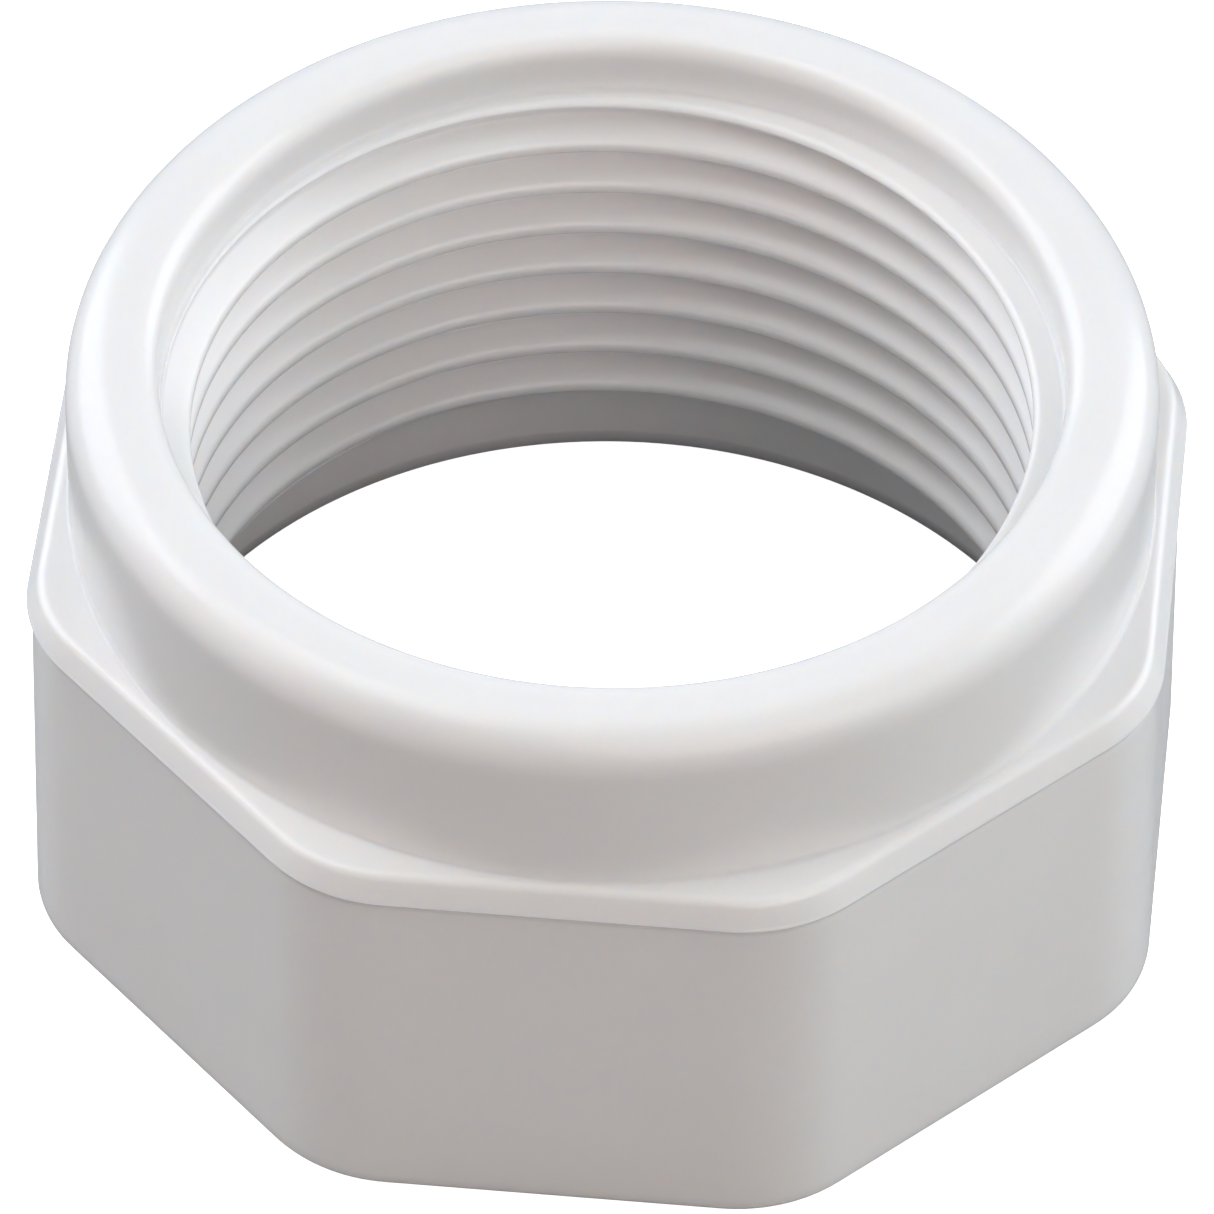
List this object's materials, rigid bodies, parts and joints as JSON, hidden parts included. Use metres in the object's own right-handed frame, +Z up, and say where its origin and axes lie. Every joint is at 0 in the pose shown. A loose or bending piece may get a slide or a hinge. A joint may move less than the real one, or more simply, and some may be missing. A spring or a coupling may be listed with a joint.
{
  "type": "union nut",
  "caption": "One-piece plastic union nut: octagonal wrench body, round collar, right-hand internal thread open at both ends.",
  "frame": {"origin": "centre of the bottom face, on the bore axis", "axes": "+Z up along the bore axis, from the octagon's bottom face to the collar's rim; two opposite wrench flats face +X and -X"},
  "size_m": [0.0418, 0.0418, 0.023],
  "materials": {
    "nut_plastic": "satin moulded white plastic"
  },
  "bodies": {
    "root": {"union_nut": "nut_plastic"}
  },
  "joints": []
}
